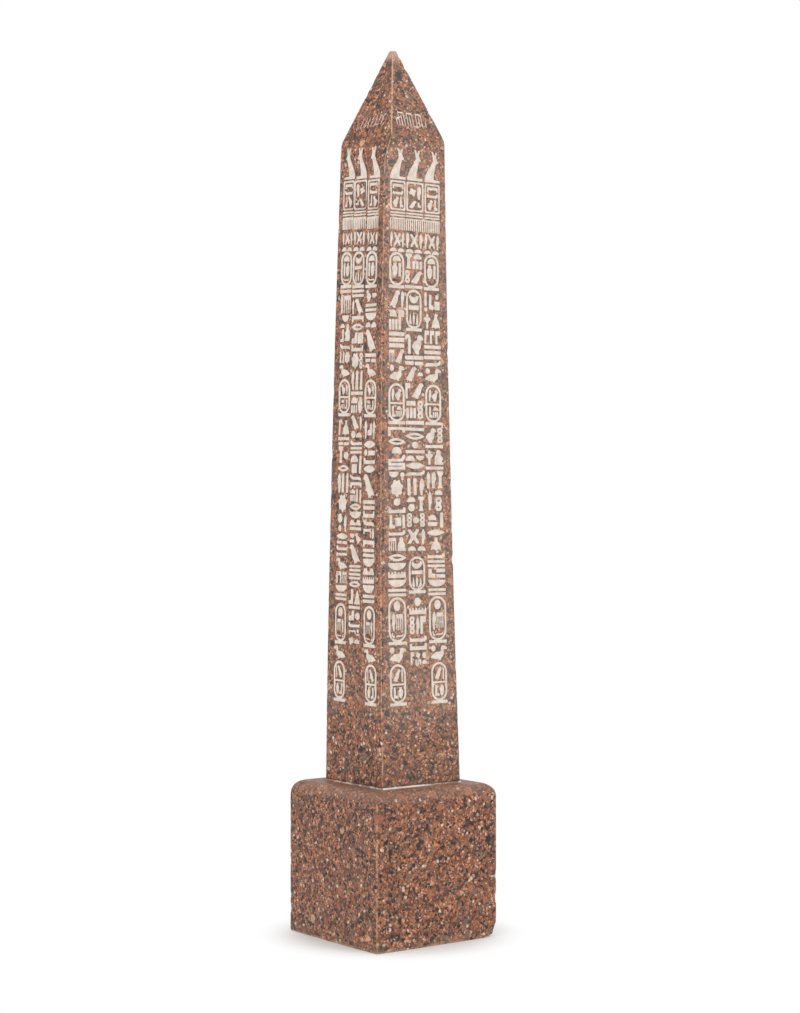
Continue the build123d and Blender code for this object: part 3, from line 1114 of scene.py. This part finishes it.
def lay_rings(face, group):
    for number, (name, low, height, width, columns, contents) in enumerate(RINGS[LAYOUT[face]]):
        if name != group:
            continue
        crossed = len(contents) == 2
        key = f"{LAYOUT[face]}_ring_{number}"
        if key not in patterns:
            outlines = crossed_ring(width, height) if crossed else ring(width, height)
            patterns[key] = draw_sign(key, *outlines, radius=0.15)
        floor, ceiling = low + RING_FOOT_HEIGHT + FOOT_CLEAR, low + height - RING_STROKE - HEAD_CLEAR
        spans = [(floor, ceiling)]
        if crossed:
            bar = low + height / 2 + CROSSBAR_RAISE
            spans = [(bar + BAR_CLEAR, ceiling - CROSSED_MARGIN), (floor + CROSSED_MARGIN, bar - BAR_CLEAR)]
        inside = width - 2 * RING_STROKE - RING_MARGIN
        for column in columns:
            middle = at_level(COLUMNS, face, column, low + height / 2)
            place_sign(face, key, middle, low, steady=True)
            for span, rows in zip(spans, contents):
                fill_column(face, column, *span, rows, inside, middle)


def lay_text(face):
    for columns, low, high, rows in TEXT[LAYOUT[face]]:
        for column in columns:
            stretch = fill_column(face, column, low, high, rows)
            if face == LAYOUT[face]:
                print(f"{face} column {column} from {low} to {high}: rows stretched by {stretch:.2f}")


# %% Lay out the birds, panels and fringe
PERCH_LEVEL, PANEL_MIDDLE, FRINGE_MIDDLE = 215.5, 209.7, 199.6
SILL_LEVELS = (203.6, 202.6)
PANEL_CONTENTS = ("gate, arm, chick leg", "kite reed, falcon chair", "gate, arm, chick leg")
PANEL_MARGIN, PANEL_CLEAR = 0.6, 1.15
# How far the panels and birds of the left face stand above those of the front
LEFT_RAISE = 1.2
TIP_ROW = -30.2


def columns_at(face, level):
    """The middle, level and width of each column. On the left face all of them are raised."""
    level += 0.0 if LAYOUT[face] == "front" else LEFT_RAISE
    return [(at_level(COLUMNS, face, i, level), level, at_level(WIDTHS, face, i, level)) for i in range(3)]


def lay_birds(face):
    """The birds of the left face are slimmer, and stand a little to the right of their columns."""
    width, aside = (0.98, 0.0) if LAYOUT[face] == "front" else (0.87, 0.55)
    for x, level, _ in columns_at(face, PERCH_LEVEL):
        place_sign(face, "perched", x + aside, level, width, 0.97, steady=True)


def lay_panels(face):
    for column, (x, level, width) in enumerate(columns_at(face, PANEL_MIDDLE)):
        place_sign(face, "panel", x, level, width / PANEL_WIDTH, steady=True)
        half, inside = PANEL_HEIGHT / 2 - PANEL_CLEAR, width - 2 * PANEL_STROKE - PANEL_MARGIN
        fill_column(face, column, level - half, level + half, PANEL_CONTENTS[column], inside, x)


def lay_fringe(face):
    fringe = "fringe" if LAYOUT[face] == "front" else "close_fringe"
    for name, middle in [("sill", level) for level in SILL_LEVELS] + [(fringe, FRINGE_MIDDLE)]:
        for x, level, width in columns_at(face, middle):
            place_sign(face, name, x, level, width / FRINGE_WIDTH, steady=True)


def lay_tip(face):
    """Strokes low on a slope of the pyramidion: slanted on the left and right, bracketed elsewhere."""
    strokes = [("slit", -5.6 + 1.8 * i, -0.6, 0.9, 0.95, -10) for i in range(7)]
    if LAYOUT[face] == "front":
        strokes = []
        for x in (-4.2, -0.4, 3.6):
            strokes += [("bracket", x, -0.9, 0.84, 1.08, 0), ("slit", x, -1.6, 0.9, 0.85, 0)]
        strokes += [("slit", x, -1.9, 0.9, 0.6, 0) for x in (-6.6, 6.4)]
    for name, x, down, width, height, lean in strokes:
        place_sign(face, name, x, TIP_ROW + down, width, height, matrix=slope_matrix(face), lean=lean)


# %% [markdown]
# ## From drawing to carving
#
# Every drawing is used twice. Thickened to both sides of the face it is a cutter, and the shaft
# loses that shape. Made a little smaller and sunk below the face it is the paint in the pocket, and
# the dark groove round it is where the paint has drawn back from the stone.

# %% Paint and cutters
POCKET_DEPTH = 0.55
GROOVE, PAINT_SUNK, PAINT_THICKNESS, PAINT_SHOULDER = 0.03, 0.08, 0.36, 0.06


def join(copies, name):
    pick(*copies)
    bpy.ops.object.join()
    joined = bpy.context.object
    joined.name = name
    bpy.ops.object.transform_apply(location=True, rotation=True, scale=True)
    return joined


def make_cutter(drawing):
    pick(drawing)
    bpy.ops.object.duplicate()
    cutter = bpy.context.object
    modify(cutter, "SOLIDIFY", thickness=2 * POCKET_DEPTH, offset=0)
    return cutter


def make_paint(drawing):
    """Shrinks the drawing, sinks it and gives it a body with soft upper edges."""
    edit(drawing, "FACE")
    bpy.ops.mesh.inset(thickness=GROOVE, depth=0, use_boundary=True, use_even_offset=True)
    bpy.ops.mesh.select_all(action="INVERT")
    bpy.ops.mesh.delete(type="FACE")
    leave()
    edit(drawing)
    bpy.ops.transform.shrink_fatten(value=-PAINT_SUNK)
    leave()
    modify(drawing, "SOLIDIFY", thickness=PAINT_THICKNESS, offset=-1)
    modify(drawing, "BEVEL", width=PAINT_SHOULDER, segments=1, limit_method="ANGLE", angle_limit=1.2)


def bow(piece):
    """Moves a piece of the shaft sideways, as the whole shaft is bowed and its front arris leans."""
    for vertex in piece.data.vertices:
        vertex.co.xy += Vector(shift(*vertex.co))


# %% Carve all the faces
LAYERS = {
    "tip_strokes": lay_tip,
    "birds": lay_birds,
    "panels": lay_panels,
    "fringe": lay_fringe,
    "upper_rings": lambda face: lay_rings(face, "upper"),
    "middle_rings": lambda face: lay_rings(face, "middle"),
    "lower_rings": lambda face: lay_rings(face, "lower"),
    "column_signs": lay_text,
}
drawings, cutters = {}, []
for face in FACES:
    for layer, lay in LAYERS.items():
        lay(face)
        name = f"{face}_{layer}"
        drawings[name] = join(placed, name)
        cutters.append(make_cutter(drawings[name]))
        placed.clear()
carver = join(cutters, "carver")
print("cutter of", triangles(carver), "triangles")

# %% [markdown]
# ## The shaft
#
# The shaft and its pyramidion are one stone. A cube becomes the shaft when its top is scaled in, and
# the pyramidion when the top is extruded and scaled again. The left slope was ground out of square,
# and a bisect makes it: a cut by a plane that is then closed.

# %% Shape the shaft
ARRIS_ROUND, SHOULDER_ROUND, SHARP = 0.45, 1.7, math.radians(25)
SHAFT_STEP = 1.1

shaft = add_box(FOOT_SIDE, BED_TOP, SHOULDER)
edit(shaft, "FACE", lambda polygon: polygon.normal.z > 0.99)
taper = SHOULDER_SIDE / FOOT_SIDE
bpy.ops.transform.resize(value=(taper, taper, 1))
bpy.ops.mesh.extrude_region_move(TRANSFORM_OT_translate={"value": (0, 0, TOP - SHOULDER)})
narrow = (SHARP_TIP - TOP) / PYRAMIDION_HEIGHT
bpy.ops.transform.resize(value=(narrow, narrow, 1))
leave()
edit(shaft)
bpy.ops.mesh.bisect(plane_co=(0, 0, SHARP_TIP), plane_no=LEFT_NORMAL, use_fill=True, clear_outer=True)
leave()
bevel(shaft, between(SHOULDER - 10, SHOULDER + 1), SHOULDER_ROUND, segments=3)
edit(shaft, "EDGE", lambda edge: False)
bpy.ops.mesh.edges_select_sharp(sharpness=SHARP)
bpy.ops.mesh.bevel(offset=ARRIS_ROUND, segments=4, affect="EDGES", profile=0.5)
leave()
print("shaft blank:", triangles(shaft), "triangles")

# %% Wear the arrises of the shaft
cut_finely(shaft, length=200, cuts=round(SHAFT_HEIGHT / SHAFT_STEP))
cut_finely(shaft, length=30, cuts=round(PYRAMIDION_HEIGHT / SHAFT_STEP))
chip(shaft, straight_arris, reach=1.4, depth=0.42, size=2.4, seed=4.0)

# %% Cut the pockets
modify(shaft, "BOOLEAN", object=carver, operation="DIFFERENCE", solver="MANIFOLD")
bpy.data.objects.remove(carver)
bow(shaft)
finish_piece(shaft, "carved_shaft", shaft_granite, "shaft_granite", "shaft")

# %% Fill the pockets with paint
for name, drawing in drawings.items():
    make_paint(drawing)
    bow(drawing)
    inlay = name.removesuffix("s") + "_inlays"
    nodes = [inlay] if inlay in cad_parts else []
    finish_piece(drawing, name, paint_finish, "cream_paint", *nodes)
for pattern in patterns.values():
    bpy.data.objects.remove(pattern)

# %% [markdown]
# ## Floor, light and camera
#
# The object was photographed alone on white. The floor is pale and catches a faint shadow near the
# foot. Further out it turns into the same white as the world, so that no horizon shows. The camera
# sees that white, and so do the rays that polish or glass sends on, but it doesn't light the object.
# A weaker world does, with three soft lamps: one before each visible face, and one above.

# %% White surroundings
BACKGROUND_WHITE, WORLD_LIGHT = 1.0, 0.58


def background_rays(tree):
    """1 for rays from the camera, or sent on by polish or glass, and 0 for rays that light a thing."""
    rays = tree.nodes.new("ShaderNodeLightPath")
    seen = rays.outputs["Is Camera Ray"]
    for kind in ("Is Glossy Ray", "Is Transmission Ray"):
        either = tree.nodes.new("ShaderNodeMath")
        either.operation = "MAXIMUM"
        tree.links.new(seen, either.inputs[0])
        tree.links.new(rays.outputs[kind], either.inputs[1])
        seen = either.outputs[0]
    return seen


world = bpy.data.worlds.new("white_surroundings")
bpy.context.scene.world = world
world.use_nodes = True
tree = world.node_tree
sky = tree.nodes["Background"]
sky.inputs["Color"].default_value = (1, 1, 1, 1)
strength = tree.nodes.new("ShaderNodeMapRange")
strength.inputs["To Min"].default_value = WORLD_LIGHT
strength.inputs["To Max"].default_value = BACKGROUND_WHITE
tree.links.new(background_rays(tree), strength.inputs["Value"])
tree.links.new(strength.outputs[0], sky.inputs["Strength"])

# %% Floor
FLOOR_SIZE, FLOOR_NEAR, FLOOR_FAR = 6.0, 0.028, 0.05


def floor_finish():
    finish = Finish("white_floor", Base_Color=rgb(244, 243, 241), Roughness=0.7, Specular_IOR_Level=0.2)
    place = finish.node("TexCoord").outputs["Object"]
    distance = finish.number("VectorMath", {"operation": "LENGTH"}, {0: place}, output="Value")
    glow = finish.node("Emission", {}, {"Color": (1, 1, 1, 1), "Strength": BACKGROUND_WHITE})
    far = distance.ramp(FLOOR_NEAR, FLOOR_FAR) * Number(finish, background_rays(finish.tree))
    blend = finish.node("MixShader", {}, {0: far, 1: finish.shader.outputs[0], 2: glow.outputs[0]})
    finish.connect(finish.tree.nodes["Material Output"], "Surface", blend.outputs[0])
    return finish.material


bpy.ops.object.select_all(action="DESELECT")
bpy.ops.mesh.primitive_plane_add(size=FLOOR_SIZE)
floor = bpy.context.object
floor.name = "floor"
floor.data.materials.append(floor_finish())

# %% Lamps
OBJECT_MIDDLE = Vector((0, 0, TOP / 2)) * MILLIMETRE
LAMP_WIDTH = 0.8


def soft_lamp(name, place, power):
    lamp = bpy.data.lights.new(name, "AREA")
    lamp.size = LAMP_WIDTH
    lamp.energy = power
    holder = add_object(name, lamp)
    holder.location = place
    holder.rotation_euler = (OBJECT_MIDDLE - Vector(place)).to_track_quat("-Z", "Y").to_euler()


soft_lamp("front_lamp", (0.35, -1.1, 0.75), 5.2)
soft_lamp("left_lamp", (-1.1, -0.25, 0.6), 5.0)
soft_lamp("top_lamp", (0.1, 0.1, 1.4), 3.0)

# %% Camera
CAMERA_PLACE = Vector((-466.5, -625.8, 156.8)) * MILLIMETRE
CAMERA_DIRECTION = Vector((0.60038, 0.79971, 0.0))
LENS, SENSOR, SHIFT_UP = 76.47, 36.0, -0.0057

camera = bpy.data.cameras.new("camera")
camera.lens, camera.sensor_width, camera.shift_y = LENS, SENSOR, SHIFT_UP
camera.clip_start, camera.clip_end = 0.01, 20.0
viewer = add_object("camera", camera)
viewer.location = CAMERA_PLACE
viewer.rotation_euler = CAMERA_DIRECTION.to_track_quat("-Z", "Y").to_euler()
bpy.context.scene.camera = viewer
bpy.context.scene.view_settings.view_transform = "Standard"
